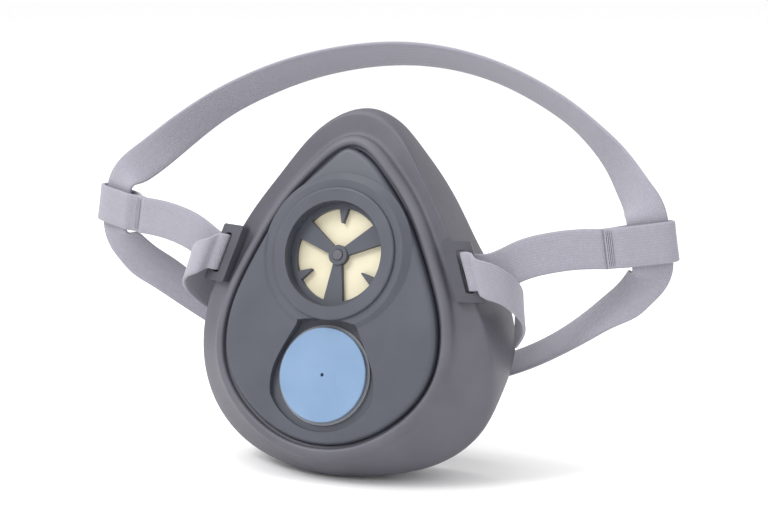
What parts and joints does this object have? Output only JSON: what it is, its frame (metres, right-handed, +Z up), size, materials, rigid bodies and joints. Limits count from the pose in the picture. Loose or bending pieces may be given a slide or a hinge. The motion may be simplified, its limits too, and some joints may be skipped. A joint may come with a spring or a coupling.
{
  "type": "respirator",
  "caption": "Half-mask respirator body: rubber facepiece, rigid front plate with one filter port and an exhalation valve below, and an elastic head harness.",
  "frame": {"origin": "centre of the face seal, where the wearer's face meets the rubber", "axes": "front of the mask faces -Y, +X from one side of the face to the other, +Z up towards the nose"},
  "size_m": [0.2164, 0.075, 0.1401],
  "materials": {
    "grey_rubber": "matte",
    "grey_plastic": "satin",
    "dark_plastic": "satin",
    "seat_plastic": "satin",
    "stud_plastic": "satin",
    "cream_rubber": "matte",
    "blue_silicone": "satin",
    "elastic_webbing": "woven",
    "sewing_thread": "thread"
  },
  "bodies": {
    "mask": {"facepiece": "grey_rubber", "front_plate": "grey_plastic", "port_ring": "grey_plastic", "inhalation_grille": "grey_plastic", "inhalation_stud": "stud_plastic", "exhalation_seat": "seat_plastic", "inner_clamp_ring": "dark_plastic", "clamp_rivets": "dark_plastic", "right_strap_lug": "dark_plastic", "left_strap_lug": "dark_plastic", "right_side_strap": "elastic_webbing", "left_side_strap": "elastic_webbing", "right_strap_tail": "elastic_webbing", "left_strap_tail": "elastic_webbing", "right_end_loop": "elastic_webbing", "left_end_loop": "elastic_webbing", "right_loop_stitches": "sewing_thread", "left_loop_stitches": "sewing_thread"},
    "inhalation_flap": {"inhalation_flap": "cream_rubber"},
    "exhalation_flap": {"exhalation_flap": "blue_silicone"},
    "head_ring": {"crown_strap": "elastic_webbing", "neck_strap": "elastic_webbing"}
  },
  "joints": [
    {"name": "inhalation_flap_lift", "type": "slide", "parent": "mask", "child": "inhalation_flap", "axis": [0, 0.9636, -0.2672], "range_m": [0, 0.0015], "stiffness_N_per_m": 60},
    {"name": "exhalation_flap_lift", "type": "slide", "parent": "mask", "child": "exhalation_flap", "axis": [0, -0.9636, 0.2672], "range_m": [0, 0.0016], "stiffness_N_per_m": 60},
    {"name": "head_ring_tilt", "type": "hinge", "parent": "mask", "child": "head_ring", "pos_m": [0, -0.008, 0.02], "axis": [1, 0, 0], "range_deg": [-1, 4]}
  ]
}
